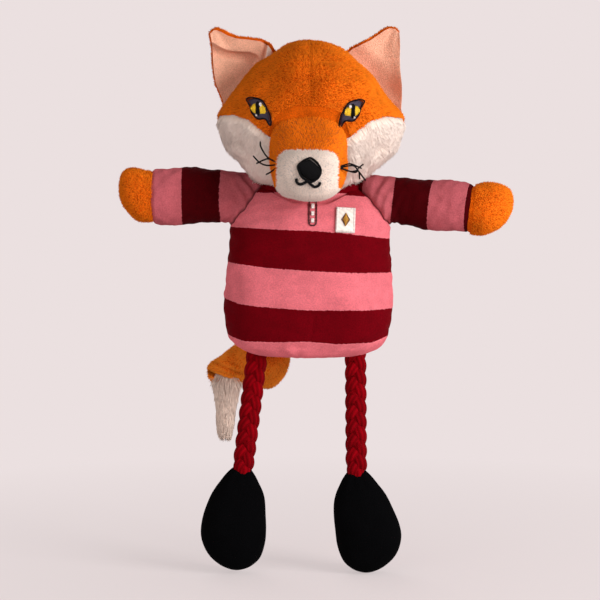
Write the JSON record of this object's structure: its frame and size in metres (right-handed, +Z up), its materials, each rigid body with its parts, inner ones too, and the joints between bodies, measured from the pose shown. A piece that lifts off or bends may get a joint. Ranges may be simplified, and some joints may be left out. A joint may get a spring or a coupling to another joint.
{
  "type": "plush fox",
  "caption": "Stuffed plush fox with a striped velour body, stuffed arms, braided rope legs, black feet and a brush tail.",
  "frame": {"origin": "on the plane under the hanging feet, below the middle of the toy seen from above", "axes": "+Z up from the feet to the crown, -Y the way the fox faces, +X towards its own left paw"},
  "size_m": [0.2878, 0.1344, 0.4004],
  "materials": {
    "orange_plush": "short-pile polyester plush, orange",
    "white_pile": "long-pile polyester plush, off-white",
    "pink_velour": "cotton velour jersey, pink with maroon stripes",
    "stuffing": "polyester fibre fill",
    "maroon_thread": "embroidery thread, maroon",
    "white_thread": "embroidery thread and woven patch, off-white",
    "gold_thread": "embroidery thread, old gold",
    "black_thread": "satin-stitched rayon thread, black",
    "dark_thread": "satin-stitched rayon thread, dark plum",
    "yellow_thread": "satin-stitched rayon thread, yellow",
    "peach_plush": "short-pile plush, peach",
    "red_rope": "braided cotton rope, dark red",
    "black_velour": "short-pile velour, black"
  },
  "bodies": {
    "torso": {"jersey_front": "pink_velour", "jersey_back": "pink_velour", "jersey_base": "pink_velour", "torso_stuffing": "stuffing", "placket_stitching": "maroon_thread", "placket_button_1": "white_thread", "placket_button_2": "white_thread", "placket_button_3": "white_thread", "badge_patch": "white_thread", "badge_motif": "gold_thread"},
    "neck": {"neck_plug": "stuffing"},
    "head": {"head_front": "orange_plush", "head_back": "orange_plush", "cheek_left": "white_pile", "cheek_right": "white_pile", "head_stuffing": "stuffing", "muzzle_bridge": "orange_plush", "muzzle_front": "white_pile", "nose": "black_thread", "mouth_stitching": "black_thread", "eye_surround_left": "dark_thread", "eye_iris_left": "yellow_thread", "eye_pupil_left": "black_thread", "eye_surround_right": "dark_thread", "eye_iris_right": "yellow_thread", "eye_pupil_right": "black_thread", "whiskers_left": "black_thread", "whiskers_right": "black_thread"},
    "ear_left": {"ear_back_left": "orange_plush", "ear_lining_left": "peach_plush"},
    "arm_left": {"sleeve_left": "pink_velour", "paw_left": "orange_plush"},
    "thigh_left": {"rope_upper_left": "red_rope"},
    "shin_left": {"rope_lower_left": "red_rope"},
    "foot_left": {"foot_left": "black_velour"},
    "ear_right": {"ear_back_right": "orange_plush", "ear_lining_right": "peach_plush"},
    "arm_right": {"sleeve_right": "pink_velour", "paw_right": "orange_plush"},
    "thigh_right": {"rope_upper_right": "red_rope"},
    "shin_right": {"rope_lower_right": "red_rope"},
    "foot_right": {"foot_right": "black_velour"},
    "tail": {"tail_brush": "orange_plush", "tail_tip": "white_pile"}
  },
  "joints": [
    {"name": "neck_turn", "type": "hinge", "parent": "torso", "child": "neck", "pos_m": [-0.00247, 0.01008, 0.28618], "axis": [0.0175, 0, 0.9998], "range_deg": [-30, 30], "stiffness_Nm_per_rad": 0.3},
    {"name": "neck_nod", "type": "hinge", "parent": "neck", "child": "head", "pos_m": [-0.00247, 0.01008, 0.28618], "axis": [0.9998, 0, -0.0175], "range_deg": [-15, 5], "stiffness_Nm_per_rad": 0.5},
    {"name": "ear_left_fold", "type": "hinge", "parent": "head", "child": "ear_left", "pos_m": [0.04375, 0.01208, 0.36051], "axis": [0.7145, 0, -0.6997], "range_deg": [-12, 24], "stiffness_Nm_per_rad": 0.01},
    {"name": "shoulder_left", "type": "hinge", "parent": "torso", "child": "arm_left", "pos_m": [0.05532, 0.01308, 0.27417], "axis": [0, -1, 0], "range_deg": [-30, 35], "stiffness_Nm_per_rad": 0.15},
    {"name": "hip_left", "type": "hinge", "parent": "torso", "child": "thigh_left", "pos_m": [0.03115, 0.01008, 0.14977], "axis": [-1, 0, -0.0087], "range_deg": [-10, 80]},
    {"name": "knee_left", "type": "hinge", "parent": "thigh_left", "child": "shin_left", "pos_m": [0.03148, 0.01008, 0.11278], "axis": [1, 0, 0.0087], "range_deg": [-45, 50], "stiffness_Nm_per_rad": 0.02},
    {"name": "ankle_left", "type": "hinge", "parent": "shin_left", "child": "foot_left", "pos_m": [0.0318, 0.01008, 0.07578], "axis": [-0.9971, 0, -0.0767], "range_deg": [-35, 35], "stiffness_Nm_per_rad": 0.02},
    {"name": "ear_right_fold", "type": "hinge", "parent": "head", "child": "ear_right", "pos_m": [-0.0506, 0.01208, 0.36182], "axis": [0.7337, 0, 0.6794], "range_deg": [-12, 24], "stiffness_Nm_per_rad": 0.01},
    {"name": "shoulder_right", "type": "hinge", "parent": "torso", "child": "arm_right", "pos_m": [-0.06065, 0.01308, 0.2762], "axis": [0, 1, 0], "range_deg": [-30, 35], "stiffness_Nm_per_rad": 0.15},
    {"name": "hip_right", "type": "hinge", "parent": "torso", "child": "thigh_right", "pos_m": [-0.04084, 0.01008, 0.15103], "axis": [-0.9921, 0, 0.1253], "range_deg": [-10, 80]},
    {"name": "knee_right", "type": "hinge", "parent": "thigh_right", "child": "shin_right", "pos_m": [-0.04547, 0.01008, 0.11432], "axis": [0.9921, 0, -0.1253], "range_deg": [-45, 50], "stiffness_Nm_per_rad": 0.02},
    {"name": "ankle_right", "type": "hinge", "parent": "shin_right", "child": "foot_right", "pos_m": [-0.05011, 0.01008, 0.07761], "axis": [-0.9968, 0, 0.0802], "range_deg": [-35, 35], "stiffness_Nm_per_rad": 0.02},
    {"name": "tail_wag", "type": "hinge", "parent": "torso", "child": "tail", "pos_m": [-0.03052, 0.04008, 0.16915], "axis": [0, 1, 0], "range_deg": [-25, 25], "stiffness_Nm_per_rad": 0.08}
  ]
}
